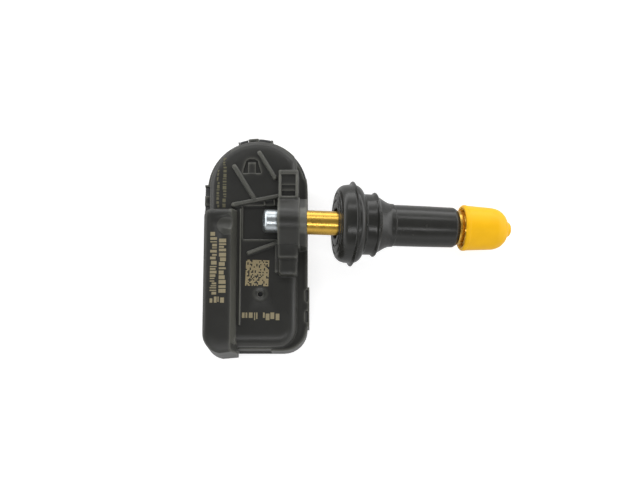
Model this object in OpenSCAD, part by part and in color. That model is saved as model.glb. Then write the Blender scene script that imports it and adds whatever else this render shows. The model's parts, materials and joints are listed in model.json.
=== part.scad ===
// Snap-in tyre pressure sensor: a moulded housing with its electronics, screwed to a rubber tyre valve.
// Millimetres. Origin: on the back cover's outer face, on the housing's long centre line, level with the valve.
// +X points out along the valve, +Y to the housing's round end, +Z out of the face that holds the screw.

/* [Housing] */
// Width of the housing across the valve
body_w = 22.7; // [21:0.1:26]
// Distance from the valve's plane to the centre of the round end
round_end_y = 8.84; // [8:0.1:14]
// Distance from the valve's plane to the square end
square_end_y = 28; // [27:0.5:40]
// Corner radius at the square end, valve side
corner_valve = 5.3; // [3:0.1:7]
// Corner radius at the square end, ledge side
corner_ledge = 4; // [2.5:0.1:5]
// Thickness of the housing's outer wall
wall = 1.2; // [0.9:0.05:1.6]
// Thickness of the stepped shoulder round the housing
shoulder_t = 0.8; // [0.6:0.05:1.2]
// Height of the housing's main face
face_z = 10; // [9.6:0.1:12]
// Thickness of the main face
face_t = 1.6; // [1.2:0.1:2]
// How far the upper body stands in from the shoulder on the valve side
shoulder_valve = 2.4; // [1.5:0.1:3]
// How far the upper body stands in from the shoulder elsewhere
shoulder_rest = 0.6; // [0.3:0.1:1.2]
// Rounding along the upper body's edge
face_round = 1.9; // [0.6:0.1:2]

/* [Ledge over the antenna] */
// Height of the ledge
ledge_z = 13.4; // [12.4:0.1:16]
// Width of the ledge at its top
ledge_w = 6.3; // [5:0.1:8]
// Width that the ledge's inner side gains down to its foot
ledge_slope = 1; // [0.5:0.1:2]
// Where the ledge starts, above the valve's plane
ledge_top_y = 3.1; // [2:0.1:5]
// How far the ledge's foot runs past the square end
ledge_past = 1.2; // [0:0.1:2]
// Rounding along the ledge's edges
ledge_round = 1.1; // [0.4:0.1:1.5]

/* [Valve seat on the housing] */
// Angle at which the valve leans back towards the cover side
valve_tilt = 10; // [0:1:15]
// Place of the screw's side of the seat block
seat_x = 4.8; // [4.2:0.1:5.6]
// Width of the seat block along the housing
seat_w = 11.4; // [9:0.1:14]
// Plastic round the stem's bore
seat_wall = 0.95; // [0.7:0.05:1.4]
// Length of the rails on both sides of the block
rail_l = 7.4; // [6:0.1:8]
// Width of the rails
rail_w = 4.4; // [3.5:0.1:4.5]
// Height of the rails
rail_z = 13; // [12:0.1:14]
// Rounding of the rails' edges
rail_round = 0.5; // [0.2:0.05:0.8]
// Gap between the stem and its bore
stem_clear = 0.03; // [0.02:0.01:0.1]

/* [Ribs and vent] */
// Width of the ribs on the main face
rib_w = 1; // [0.6:0.1:1.5]
// Height of the ribs
rib_h = 0.9; // [0.4:0.1:1.2]
// Diameter of the vent hole
vent_d = 1.15; // [0.8:0.05:1.6]
// Diameter of the dish round the vent
vent_dish_d = 3.9; // [3:0.1:5]
// Distance from the valve's plane to the vent
vent_y = 15.7; // [14:0.1:17]
// Place of the vent across the housing
vent_x = 0.9; // [0:0.1:2]

/* [Back cover] */
// Thickness of the back cover
cover_t = 1.2; // [1:0.1:2]
// How far the snap bosses stand proud on the ledge side and at the round end
snap_proud = 0.65; // [0.4:0.05:1]
// How far the snap bosses stand proud on the valve side
snap_proud_valve = 0.4; // [0.2:0.05:0.8]
// Depth of the snap slots
snap_depth = 1.15; // [0.9:0.05:1.3]
// How far the cover's snap tongues end below the shoulder
tongue_low = 0.3; // [0.1:0.1:2]
// Gap round each snap tongue
tongue_clear = 0.08; // [0.04:0.01:0.2]
// Width of the cover's seal
seal_w = 0.4; // [0.3:0.05:0.5]

/* [Screw] */
// Diameter of the screw's head
head_d = 5.2; // [4.6:0.1:5.6]
// Height of the screw's head
head_h = 3.6; // [2.5:0.1:4]
// Diameter of the screw's shank
shank_d = 2.9; // [2.5:0.05:3.2]
// Length of the screw's shank
shank_l = 6.6; // [6:0.1:7]
// Room for the driver round the head
driver_clear = 0.12; // [0.05:0.01:0.3]

/* [Valve] */
// Diameter of the brass stem where it shows
stem_d = 5.4; // [5:0.1:6]
// Length of brass that shows between the housing and the rubber
stem_bare = 5.5; // [5:0.1:8]
// Diameter of the valve's thread
thread_d = 7.7; // [7.5:0.05:7.9]
// Diameter of the rubber flange
flange_d = 17.5; // [16.5:0.1:18.5]
// How far the moulding fin stands out of the flange
fin = 0.8; // [0.3:0.1:1]
// Diameter of the neck that the rim closes on
neck_d = 13.7; // [12.5:0.1:14]
// Length of the neck
neck_l = 1.5; // [1:0.1:3]
// Diameter of the rubber barrel behind the cone
barrel_d = 9.3; // [9:0.1:10.5]
// Length of the barrel
barrel_l = 14.8; // [13:0.1:20]
// Length of brass thread that shows below the cap
thread_bare = 1.6; // [1:0.1:3]

/* [Cap] */
// Diameter of the cap at its mouth
cap_d = 10.4; // [10:0.1:12]
// How much narrower the cap is at its shoulder
cap_taper = 1.1; // [0.5:0.1:1.4]
// Length of the cap without its nub
cap_l = 10.6; // [10.4:0.1:14]
// Length of the nub on the cap
nub_l = 1; // [0.5:0.1:2]
// Gap between the cap and the stem's thread
cap_clear = 0.05; // [0.03:0.01:0.1]
// Height of the cap's underside over the table that the sensor lies on
cap_lift_gap = 0.06; // [0.05:0.01:0.2]

/* [Electronics] */
// Gap between the battery and the housing's wall
battery_clear = 0.15; // [0.1:0.01:0.5]
// Thickness of the battery
battery_h = 3.2; // [2.5:0.1:3.2]
// Thickness of the circuit board
board_t = 0.8; // [0.6:0.1:1]
// Gap between the battery and the board
board_gap = 0.3; // [0.2:0.02:0.4]
// Gap between the board and the wall
board_clear = 0.35; // [0.2:0.05:0.5]

/* [Hidden] */
$fn = 48;
eps = 0.01;
slice_t = 0.15;
over = 1;

// Colours
plastic = "#3a3a3a";
cover_plastic = "#242424";
rubber_black = "#2b2b2d";
brass = "#cda650";
steel = "#c9cdd1";
cap_yellow = "#eda81c";
board_green = "#2f6b45";
chip_black = "#202022";

// Housing
body_r = body_w / 2;
battery_d = body_w - 2 * (wall + battery_clear);
board_z = cover_t + battery_h + board_gap;
board_top = board_z + board_t;
board_room = 0.1;
shoulder_z = board_top + board_room + shoulder_t;
tongue_z = shoulder_z - tongue_low;
end_gap = 0.7;
end_spread = 1.4;
ledge_spread = 3;
ledge_inner_share = 0.45;
ceiling_z = face_z - face_t;
upper_r = body_r - shoulder_rest;
upper_x = body_r - shoulder_valve;
ledge_x = -body_r - 0.25;
ledge_in = ledge_x + ledge_w;
notch_x = [-4, 3.3];
notch_d = 0.35;
foot_x = notch_x[0] + 0.1;
foot_y = -square_end_y - ledge_past + 0.5;
foot_l = 5;
seat_step_x = body_r - 1.7;
seat_step = 0.35;
seat_shoulder = 2.7;
rail_foot = shoulder_z - 0.3;
rail_frame = 0.6;
rail_tuck = 1.2;
rail_in = 0.13;
rail_h = rail_z - rail_foot;
recess_start = 0.15;
// Steps of the recess: [in from the frame, length, depth]
recess_cuts = [[0, rail_l - rail_tuck - 2 * rail_frame, 0.5], [0.05, 2.6, 0.85], [0.1, 1.3, 1.35]];
step_in = 0.05;
low_step_l = rail_l - 2.4;
strip_start = 0.83;
strip_l = rail_l - 0.7;
strip_low = 2.2;
rail_step = 0.8;
rail_strip = 0.7;
seat_end_x = body_r - 0.06;
lip_w = 0.35;
lip_h = 0.45;
lip_gap = 0.5;
lip_x = ledge_in + ledge_slope + lip_gap;
pocket_d = 0.6;
pocket_l = 7.6;

// Distances along the valve's axis are counted from the housing's side wall.
// Rubber: from the face at the housing's side to the barrel's end
dome_l = 2.9;
fin_back = 1.4;
neck_back = 4.2;
ridge_l = 1;
cone_l = 3.2;
step_l = 1.1;
rub_s = stem_bare;
flange_s = rub_s + dome_l;
fin_s = flange_s + fin_back;
neck_s = flange_s + neck_back;
ridge_s = neck_s + neck_l + ridge_l;
cone_end_s = ridge_s + cone_l;
barrel_s = cone_end_s + step_l;
rub_end_s = barrel_s + barrel_l;

// Cap
thread_in_cap = 7.7;
cap_past = 0.5;
cap_dome_l = 2.7;
mouth_s = rub_end_s + thread_bare + thread_in_cap;
cap_s = rub_end_s + thread_bare - cap_past;
cap_top_s = cap_s + cap_l;
cap_shoulder_s = cap_top_s - cap_dome_l;
cap_r = cap_d / 2;
shoulder_r = cap_r - cap_taper / 2;
cap_bore_r = thread_d / 2 + cap_clear;
liner_t = 0.8;
liner_r = 3.4;
liner_gap = 0.05;
liner_s = mouth_s + liner_gap;
nub_r = 1.65;

// The axis leaves the wall at wall_z, which lets the cap's underside clear the table
wall_z = cap_shoulder_s * sin(valve_tilt) + (cap_d - cap_taper) / 2 * cos(valve_tilt) + cap_lift_gap;
function axis_z(x) = wall_z + (body_r - x) * tan(valve_tilt);
head_r = head_d / 2;
head_s = -(body_r - seat_x) / cos(valve_tilt) + head_r * tan(valve_tilt);
stem_r = stem_d / 2;
stem_in_s = head_s + 1.5;
bore_r = stem_r + stem_clear;
driver_r = head_r + driver_clear;
groove_less = 0.25;
crown_r = bore_r + seat_wall;

flange_r = flange_d / 2;
neck_r = neck_d / 2;
barrel_r = barrel_d / 2;
well_w = 0.9;
well_d = 1.1;
dome_r = stem_r + 2.1;

// Brass stem, which swells under the rubber and widens to the thread
thread_r = thread_d / 2;
thread_under = 1;
thread_h = 0.4;
thread_s = rub_end_s - thread_under;
swell_r = stem_r + 0.7;
swell_s = [rub_s + 3, rub_s + 4.5, rub_s + 9, rub_s + 11];
widen_s = [thread_s - 5, thread_s - 3.5];
web_t = 0.9;
screw_room = 0.6;
web_s = head_s + shank_l + screw_room;
passage_s = web_s + web_t;
passage_r = 1.2;
chamber_r = 2.25;
chamber_l = 18.5;
chamber_s = mouth_s - chamber_l;
core_thread_r = 2.62;
core_thread_l = 10.2;
core_cone_s = mouth_s - core_thread_l;
core_cone_l = 0.8;

// Valve core
pin_r = 0.6;
pin_clear = 0.08;
pin_tail = 2.2;
pin_past = 0.4;
core_sunk = 0.8;
core_plug_l = 4.8;
core_tang_l = 1.6;
core_tang_w = 1.9;
core_barrel_l = 8.9;
core_plug_s = mouth_s - core_sunk - core_plug_l;
core_barrel_s = core_plug_s - core_barrel_l;
core_floor_t = 1.5;
spring_floor_s = core_barrel_s + core_floor_t;
collar_r = 1.25;
collar_t = 0.6;
collar_low = 2.2;
collar_s = core_plug_s - collar_low;
cup_r = 1.75;
cup_t = 0.3;
cup_l = 1.7;
cup_floor_t = 0.4;
cup_s = core_barrel_s - 2.1;

// Posts that clamp the board between the cover and the housing's ceiling
post_d = 1.8;
post_at = [[-5.4, -24.6], [6.2, -23.4], [7.4, -6.4], [-5.2, -6.5]];

function arc(cx, cy, r, from, to, n) =
    [for (i = [0:n]) let (a = from + (to - from) * i / n) [cx + r * cos(a), cy + r * sin(a)]];

// Outline of the lower body, seen from the screw's side, moved inwards by inset
function body_loop(inset) = concat(
    arc(0, round_end_y, body_r - inset, 0, 180, 32),
    arc(-body_r + corner_ledge, -square_end_y + corner_ledge, max(corner_ledge - inset, 0.2), 180, 270, 8),
    arc(body_r - corner_valve, -square_end_y + corner_valve, max(corner_valve - inset, 0.2), 270, 360, 8));

// Outline of the upper body, which stands in from the shoulder
function upper_loop(inset) =
    let (r = upper_r - inset, x = upper_x - inset, y = -square_end_y + end_gap + inset * (end_spread - 1),
         start = acos(x / r), c = corner_valve - 1, d = corner_ledge - 0.6)
    concat(
        arc(0, round_end_y, r, start, 180, 26),
        arc(-upper_r + d, y + d, d - inset, 180, 270, 6),
        arc(upper_x - c, y + c, c - inset, 270, 360, 6));

// Outline of the ledge, whose inner side moves by slope, and whose square end leans back most
function ledge_loop(inset, slope) =
    let (r = 1.7, past = -square_end_y - ledge_past + inset * (ledge_spread - 1), c = corner_ledge + 0.4,
         right = ledge_in + slope - inset * ledge_inner_share)
    concat(
        [[right, ledge_top_y - inset]],
        arc(ledge_x + r, ledge_top_y - r, r - inset, 90, 180, 5),
        arc(ledge_x + c, past + c, c - inset, 180, 262, 8),
        [[right, past + 0.35 + inset]]);

// One slice of a shape with rounded edges, with its top at z
module slice(points, z) {
    translate([0, 0, z - slice_t]) linear_extrude(slice_t) polygon(points);
}

// Everything along the valve's axis is drawn from z = s
module on_axis(s = 0) {
    translate([body_r, 0, wall_z]) rotate([0, 90 + valve_tilt, 0]) translate([0, 0, s]) children();
}

module rib(from, to, w = rib_w, h = rib_h) {
    hull() for (p = [from, to]) translate([p[0], p[1], face_z - 0.8]) {
        cylinder(d = w, h = h + 0.55, $fn = 20);
        cylinder(d = w * 0.6, h = h + 0.8, $fn = 20);
    }
}

module sector(r, w, from, to) {
    polygon(concat(arc(0, round_end_y, r, from, to, 8), arc(0, round_end_y, r - w, to, from, 8)));
}

// Snap bosses, as the place of their two ends, and the slots in each
ledge_boss = [3.4, 9.9];
ledge_slots = [[3.9, 5.1], [7.3, 9.5]];
valve_boss = [-22.6, -13.7];
valve_slots = [[-21.6, -19.1], [-16.9, -14.3]];
round_boss = [73.5, 112.5];
round_slots = [[75.5, 89.5], [101, 111]];
bend_slot = [13, 43];
bend_depth = 0.5;
slot_web = 0.3;

// Slots in plan, and the tongues that fill them, which are smaller by gap all round
module snap_slots(gap = 0) {
    out = body_r + snap_proud;
    reach = gap > 0 ? out - gap : out + over;
    deep = out - snap_depth + gap;
    for (span = ledge_slots)
        translate([-reach, span[0] + gap]) square([reach - deep, span[1] - span[0] - 2 * gap]);
    // Those on the valve side are closed by a web
    inner = body_r + snap_proud_valve - snap_depth + 0.3 + gap;
    for (span = valve_slots)
        translate([inner, span[0] + gap])
            square([body_r + snap_proud_valve - slot_web - gap - inner, span[1] - span[0] - 2 * gap]);
    sag = gap / body_r * 180 / PI;
    for (span = round_slots)
        sector(reach, reach - deep, span[0] + sag, span[1] - sag);
    bend = gap > 0 ? body_r - gap : body_r + over;
    sector(bend, bend - body_r + bend_depth - gap, bend_slot[0] + sag, bend_slot[1] - sag);
}

module snap_bosses() {
    translate([-body_r - snap_proud, ledge_boss[0]]) square([snap_proud + 0.5, ledge_boss[1] - ledge_boss[0]]);
    translate([body_r - 0.5, valve_boss[0]]) square([snap_proud_valve + 0.5, valve_boss[1] - valve_boss[0]]);
    sector(body_r + snap_proud, snap_proud + 0.5, round_boss[0], round_boss[1]);
}

module housing_shell() {
    translate([0, 0, cover_t]) linear_extrude(shoulder_z - cover_t) {
        polygon(body_loop(0));
        snap_bosses();
    }
    // Upper body
    hull() {
        slice(upper_loop(0), shoulder_z - 1);
        for (i = [0:4])
            let (a = i * 22.5) slice(upper_loop(face_round * (1 - cos(a))), face_z - face_round * (1 - sin(a)));
    }
    // Ledge
    hull() {
        slice(ledge_loop(0, ledge_slope), cover_t + slice_t);
        slice(ledge_loop(0, ledge_slope), face_z - 0.3);
        for (i = [0:3])
            let (a = i * 30)
                slice(ledge_loop(ledge_round * (1 - cos(a)), 0), ledge_z - ledge_round * (1 - sin(a)));
    }
    // Foot of the ledge flares out to the notch at the square end
    hull() {
        slice([[ledge_in - over, foot_y + foot_l], [ledge_in + ledge_slope, foot_y + foot_l - 0.6],
               [foot_x, foot_y + foot_l - 2.4], [foot_x, foot_y], [ledge_in - over, foot_y]], shoulder_z - 0.5);
        slice([[ledge_in - over, foot_y + foot_l - 0.4], [ledge_in + 0.4, foot_y + foot_l - 1],
               [foot_x - 0.6, foot_y + foot_l - 2.6], [foot_x - 0.8, foot_y + 1.6], [ledge_in - over, foot_y + 1.4]],
              ledge_z - 2.2);
    }
}

// Plate with rounded corners and edges, standing on z = 0
module soft_plate(w, l, h, r = rail_round) {
    hull() for (step = [[slice_t, 0], [h - r, 0], [h - r * 0.3, 0.3 * r], [h, r]])
        translate([0, 0, step[0] - slice_t]) linear_extrude(slice_t)
            offset(r = r, $fn = 16) offset(delta = -r - step[1]) square([w, l]);
}

module seat_block() {
    // Crowned block that holds the stem, with a lower step at the housing's side
    crowned(seat_x, seat_step_x, 0);
    crowned(seat_step_x - over, seat_end_x, seat_step);
    // Framed recess on the round end's side
    translate([seat_x + rail_in, seat_w / 2 - rail_tuck, rail_foot]) difference() {
        soft_plate(rail_w, rail_l, rail_h, rail_round * 0.6);
        for (cut = recess_cuts)
            translate([rail_frame + cut[0], rail_tuck + recess_start + cut[0], rail_h - cut[2]])
                cube([rail_w - 2 * (rail_frame + cut[0]), cut[1], 2 * over]);
    }
    // Stepped rail on the other side, with a lower strip along it, that rolls down to the face
    translate([seat_x, rail_tuck - seat_w / 2 - rail_l, rail_foot]) {
        translate([step_in, rail_l / 2, 0]) soft_plate(rail_w, rail_l / 2, rail_h);
        translate([rail_in, 0, 0])
            soft_plate(rail_w - 2 * rail_in + step_in, low_step_l, rail_h - rail_step, rail_round * 1.6);
        translate([-rail_strip, strip_start, 0])
            soft_plate(rail_strip + over, strip_l, rail_h - strip_low, rail_round * 0.6);
    }
}

module crowned(from, to, low) {
    hull() {
        for (x = [from, to - slice_t])
            translate([x, 0, axis_z(x)]) rotate([0, 90, 0]) cylinder(r = crown_r - low, h = slice_t, $fn = 32);
        translate([from, -seat_w / 2 + low, shoulder_z - 0.5])
            cube([to - from, seat_w - 2 * low, face_z - shoulder_z + seat_shoulder - low]);
    }
}

module housing() color(plastic) {
    housing_body();
    // Posts that hold the board down
    for (p = post_at) translate([p[0], p[1], board_top]) cylinder(d = post_d, h = ceiling_z - board_top + 0.3);
}

module housing_body() difference() {
    union() {
        housing_shell();
        seat_block();
        rib([-5.1, 13.2], [-0.7, 6]);
        rib([0.5, 16.4], [4, 10.6], rib_w * 0.9);
        rib([-5.2, 4.4], [4.9, 6.4]);
        rib([-1.8, -6.6], [4.62, -4.22], rib_w * 0.8);
        rib([1.7, 5.4], [1.8, 4.1], rib_w * 0.4, rib_h * 0.4);
        rib([3.9, 5.6], [4, 4.4], rib_w * 0.4, rib_h * 0.4);
        translate([lip_x, -22.7, face_z - eps]) cube([lip_w, 26.2, lip_h + eps]);
    }
    // Room for the electronics, and for the antenna in the ledge
    translate([0, 0, cover_t - eps]) linear_extrude(shoulder_z - shoulder_t - cover_t + eps) polygon(body_loop(wall));
    translate([0, 0, shoulder_z - shoulder_t - eps]) linear_extrude(ceiling_z - shoulder_z + shoulder_t + eps)
        polygon(upper_loop(wall));
    translate([ledge_x + 1.5, -25.5, ceiling_z - eps]) cube([3.4, 24.5, ledge_z - 1.4 - ceiling_z]);
    // Snap slots
    translate([0, 0, cover_t - eps]) linear_extrude(shoulder_z - cover_t + 2 * eps) snap_slots();
    // Notch at the square end
    translate([notch_x[0], -square_end_y - 1, cover_t - eps]) cube([notch_x[1] - notch_x[0], 1 + notch_d, 20]);
    // Bore for the stem, hole for the screw, and the driver's way to the screw
    on_axis(stem_in_s) cylinder(r = bore_r, h = 20);
    on_axis(head_s - 1) cylinder(d = shank_d + 0.3, h = 4);
    on_axis(head_s - head_h - over) cylinder(r = driver_r, h = head_h + over);
    on_axis(head_s - 18) cylinder(r = driver_r - groove_less, h = 18 - head_h);
    // Lower floor under the screw
    translate([lip_x + lip_w + 0.4, -3.4, face_z - pocket_d])
        cube([seat_x - lip_x - lip_w - 0.4, pocket_l, over]);
    // Recessed arch round a small pad
    difference() {
        translate([-1.2, 13.2, face_z - 0.5]) linear_extrude(1)
            polygon([[-2.1, -1.4], [2.1, -1.4], [1.3, 1.5], [0.6, 1.9], [-0.6, 1.9], [-1.3, 1.5]]);
        translate([-2.1, 11, face_z - 1]) cube([1.8, 3.3, 0.9]);
    }
    // Dish and vent
    translate([vent_x, -vent_y, 0]) {
        translate([0, 0, face_z - 0.45]) cylinder(d1 = vent_d + 0.5, d2 = vent_dish_d, h = 0.45 + eps);
        translate([0, 0, ceiling_z - 1]) cylinder(d = vent_d, h = face_t + 2);
        translate([0, 0, ceiling_z - eps]) cylinder(d = filter_d + 0.1, h = filter_t + 0.05);
    }
}

module back_cover() color(cover_plastic) {
    difference() {
        union() {
            linear_extrude(cover_t) {
                polygon(body_loop(0));
                snap_bosses();
                polygon(ledge_loop(0, ledge_slope));
            }
            // Locating lip inside the housing's wall, clear of the battery
            translate([0, 0, cover_t - eps]) linear_extrude(1) difference() {
                polygon(body_loop(wall + 0.1));
                polygon(body_loop(wall + 0.9));
                translate([-body_w, -2.5]) square([2 * body_w, 40]);
            }
            translate([0, 0, cover_t - eps]) linear_extrude(tongue_z - cover_t) snap_slots(tongue_clear);
            for (p = post_at) translate([p[0], p[1], cover_t - eps]) cylinder(d = post_d, h = board_z - cover_t + eps);
        }
        // Groove for the seal, and seat for the negative tab
        translate([0, 0, cover_t - 0.4]) linear_extrude(0.4 + 2 * eps) seal_ring(0.03);
        translate([-tab_w / 2 - 0.1, -4, cover_t - tab_t]) cube([tab_w + 0.2, 14, tab_t + eps]);
    }
}

module seal_ring(gap) {
    middle = wall / 2;
    difference() {
        polygon(body_loop(middle - seal_w / 2 - gap));
        polygon(body_loop(middle + seal_w / 2 + gap));
    }
}

module cover_seal() color("#55504a") translate([0, 0, cover_t - 0.4]) linear_extrude(0.4) seal_ring(0);

module circuit_board() color(board_green) translate([0, 0, board_z]) linear_extrude(board_t)
    polygon(body_loop(wall + board_clear));

// Coin cell, lying on the cover under the board
tab_w = 3;
tab_t = 0.15;
cell_z = cover_t;
lid_r = battery_d / 2 - 1.3;

module at_cell(z) translate([0, round_end_y, cell_z + z]) children();

module battery_can() color(steel) at_cell(0) difference() {
    cylinder(d = battery_d, h = battery_h, $fn = 64);
    translate([0, 0, -eps]) cylinder(r = lid_r + 0.35, h = 0.9, $fn = 64);
}

module battery_lid() color(steel) at_cell(0) {
    cylinder(r = lid_r, h = 0.6, $fn = 64);
    translate([0, 0, 0.6 - eps]) cylinder(r = lid_r - 0.4, h = 0.24, $fn = 64);
}

module battery_gasket() color("#d8d4c8") at_cell(0) difference() {
    cylinder(r = lid_r + 0.34, h = 0.6, $fn = 64);
    translate([0, 0, -eps]) cylinder(r = lid_r + 0.01, h = 1, $fn = 64);
}

// Strips welded to the cell and soldered to the board's underside
module battery_tab_positive() color(steel) translate([-tab_w / 2, 0, 0]) {
    z = cell_z + battery_h;
    translate([0, round_end_y - 5, z]) cube([tab_w, 8, tab_t]);
    translate([0, round_end_y - 5, z]) cube([tab_w, tab_t, board_z - z]);
}

module battery_tab_negative() color(steel) translate([-tab_w / 2, 0, 0]) {
    translate([0, -3.5, cover_t - tab_t]) cube([tab_w, 13, tab_t]);
    translate([0, -3.5, cover_t - tab_t]) cube([tab_w, tab_t, board_z - cover_t + tab_t]);
}

// Pressure chip under the vent, with a gasket up to the ceiling and a filter over the port
chip_w = 4.6;
chip_h = 2;
filter_d = 2.4;
filter_t = 0.2;

module sensor_chip() color(chip_black) difference() {
    translate([vent_x - chip_w / 2, -vent_y - chip_w / 2, board_top]) cube([chip_w, chip_w, chip_h]);
    translate([vent_x, -vent_y, board_top + chip_h / 2]) cylinder(d = 0.8, h = chip_h);
}

module port_gasket() color("#8a4a3c") translate([vent_x, -vent_y, board_top + chip_h]) difference() {
    cylinder(d = 4.2, h = ceiling_z - board_top - chip_h);
    translate([0, 0, -eps]) cylinder(d = vent_d + 0.3, h = 2);
}

module port_filter() color("white") translate([vent_x, -vent_y, ceiling_z]) cylinder(d = filter_d, h = filter_t);

// Low-frequency coil, lying on the board
coil_at = [-3.6, -21.6];
coil_l = 7;

module lf_coil_core() color("#4a4642") translate([coil_at[0], coil_at[1], board_top + 0.95]) rotate([0, 90, 0]) {
    cylinder(d = 1, h = coil_l, center = true);
    for (end = [-1, 1]) translate([0, 0, end * (coil_l / 2 - 0.4)]) cube([1.9, 2.2, 0.8], center = true);
}

module lf_coil_winding() color("#b06a34") translate([coil_at[0], coil_at[1], board_top + 0.95])
    rotate([0, 90, 0]) difference() {
        cylinder(d = 1.8, h = coil_l - 1.7, center = true);
        cylinder(d = 1.02, h = coil_l, center = true);
    }

// Folded strip aerial in the ledge, standing on the board
module rf_antenna() color(brass) translate([ledge_x + 2.3, 0, 0]) {
    top = ledge_z - 2;
    translate([0, -24, top - 0.3]) cube([1.4, 21, 0.3]);
    for (y = [-24, -3.3]) translate([0, y, board_top]) cube([1.2, 0.3, top - board_top]);
}

module crystal() color(steel) translate([3.6, -11.6, board_top]) cube([3.2, 1.6, 0.8]);

// Chips and small parts on the board, as [x, y, width, length, height]
small_parts = [
    [-5.6, -12.4, 4, 4, 0.9], [-5, -17.4, 1.6, 0.8, 0.8], [-5, -18.8, 1.6, 0.8, 0.8], [4.6, -15.2, 0.8, 1.6, 0.8],
    [6.2, -15.2, 0.8, 1.6, 0.8], [4.6, -18, 0.8, 1.6, 0.8], [6.2, -18, 0.8, 1.6, 0.8], [-0.6, -10.8, 1.6, 0.8, 0.8],
    [-0.6, -9.2, 1.6, 0.8, 0.8], [-3, 0, 5, 4.4, 1.2], [4, 1, 2, 1.2, 0.9], [-2, 8, 2, 1.2, 0.9]
];

module chip_components() color(chip_black)
    for (c = small_parts) translate([c[0], c[1], board_top]) cube([c[2], c[3], c[4]]);

// Screw that pulls the stem into its bore
module valve_screw() color(steel) on_axis(0) {
    difference() {
        union() {
            translate([0, 0, head_s - head_h + 0.3]) cylinder(r = head_r, h = head_h - 0.3);
            translate([0, 0, head_s - head_h]) cylinder(r1 = head_r - 0.3, r2 = head_r, h = 0.3 + eps);
            translate([0, 0, head_s - eps]) cylinder(d = shank_d, h = shank_l + eps);
        }
        translate([0, 0, head_s - head_h - eps]) linear_extrude(1.7) {
            circle(r = 1.05, $fn = 24);
            for (a = [0:60:300]) rotate(a) translate([1.15, 0]) circle(r = 0.36, $fn = 16);
        }
    }
}

// Brass stem: blind screw hole at the housing's end, air passage and core chamber at the other
module valve_stem() color(brass) on_axis(0) difference() {
    rotate_extrude($fn = 64) polygon([
        [0, web_s], [shank_d / 2 + 0.04, web_s - 0.45], [shank_d / 2 + 0.04, stem_in_s + 0.05],
        [stem_r - 0.4, stem_in_s + 0.05], [stem_r, stem_in_s + 0.45], [stem_r, swell_s[0]], [swell_r, swell_s[1]],
        [swell_r, swell_s[2]], [stem_r, swell_s[3]], [stem_r, widen_s[0]], [thread_r - thread_h, widen_s[1]],
        [thread_r - thread_h, thread_s], [thread_r, thread_s + 0.3], [thread_r, mouth_s - 0.6], [thread_r - 0.6, mouth_s],
        [core_thread_r + 0.2, mouth_s], [core_thread_r, mouth_s - 0.3], [core_thread_r, core_cone_s + core_cone_l],
        [chamber_r, core_cone_s], [chamber_r, chamber_s], [passage_r, chamber_s - 0.9], [passage_r, passage_s],
        [0, passage_s]
    ]);
    // Air hole into the passage, on the side that faces the cover
    translate([0, 0, passage_s + 1.4]) rotate([0, 90, 0]) cylinder(r = 0.8, h = 10, $fn = 24);
}

// Rubber body: domed flange, neck, sealing cone and barrel
module valve_rubber() color(rubber_black) on_axis(0) rotate_extrude($fn = 64) polygon(concat(
    [[stem_r, rub_s + well_d], [stem_r + well_w, rub_s + well_d], [stem_r + well_w, rub_s + 0.1], [dome_r, rub_s]],
    [for (a = [20:14:90]) [dome_r + (flange_r - dome_r) * sin(a), flange_s - dome_l * cos(a)]],
    [[flange_r, fin_s - 0.25], [flange_r + fin, fin_s - 0.2], [flange_r + fin, fin_s + 0.1],
     [flange_r + 0.25, fin_s + 0.2], [flange_r - 0.35, fin_s + 1.4], [flange_r - 1.2, fin_s + 2],
     [neck_r + 0.1, neck_s - 0.1], [neck_r, neck_s + 0.3], [neck_r, neck_s + neck_l],
     [neck_r + 0.4, ridge_s - 0.4], [neck_r + 0.4, ridge_s + 0.1], [neck_r - 0.5, ridge_s + 0.8],
     [barrel_r + 0.6, cone_end_s - 0.8], [barrel_r + 0.2, cone_end_s], [barrel_r + 0.15, barrel_s],
     [barrel_r, barrel_s + 0.3], [barrel_r - 0.15, rub_end_s - 0.9], [barrel_r - 0.6, rub_end_s - 0.3],
     [thread_r, rub_end_s], [thread_r, thread_s + 0.3], [thread_r - thread_h, thread_s],
     [thread_r - thread_h, widen_s[1]], [stem_r, widen_s[0]], [stem_r, swell_s[3]], [swell_r, swell_s[2]],
     [swell_r, swell_s[1]], [stem_r, swell_s[0]]]
));

// Valve core
barrel_out_r = 1.95;

module core_barrel() color(brass) on_axis(0) rotate_extrude($fn = 32) polygon([
    [pin_r + pin_clear, core_barrel_s], [1.1, core_barrel_s], [barrel_out_r, core_barrel_s + 1.2],
    [barrel_out_r, core_plug_s - 0.02], [1.5, core_plug_s - 0.02], [1.5, spring_floor_s],
    [pin_r + pin_clear, spring_floor_s]
]);

module core_plug() color(brass) on_axis(0) difference() {
    union() {
        translate([0, 0, core_plug_s]) cylinder(r = core_thread_r - 0.03, h = core_plug_l - core_tang_l);
        intersection() {
            translate([0, 0, core_plug_s]) cylinder(r = core_thread_r - 0.1, h = core_plug_l);
            translate([-core_tang_w / 2, -core_thread_r, core_plug_s]) cube([core_tang_w, 2 * core_thread_r, core_plug_l]);
        }
    }
    translate([0, 0, core_plug_s - over]) cylinder(r = pin_r + pin_clear, h = core_plug_l + 2 * over, $fn = 32);
}

module core_pin() color(brass) on_axis(0) rotate_extrude($fn = 32) polygon([
    [0, core_barrel_s - pin_tail], [pin_r, core_barrel_s - pin_tail], [pin_r, collar_s], [collar_r, collar_s],
    [collar_r, collar_s + collar_t], [pin_r, collar_s + collar_t],
    [pin_r, core_plug_s + core_plug_l + pin_past], [0, core_plug_s + core_plug_l + pin_past + 0.1]
]);

// Spring between the barrel's floor and the pin's collar
spring_turns = 6;
spring_sides = 8;
spring_wire = 0.15;
spring_r = 0.95;

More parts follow.
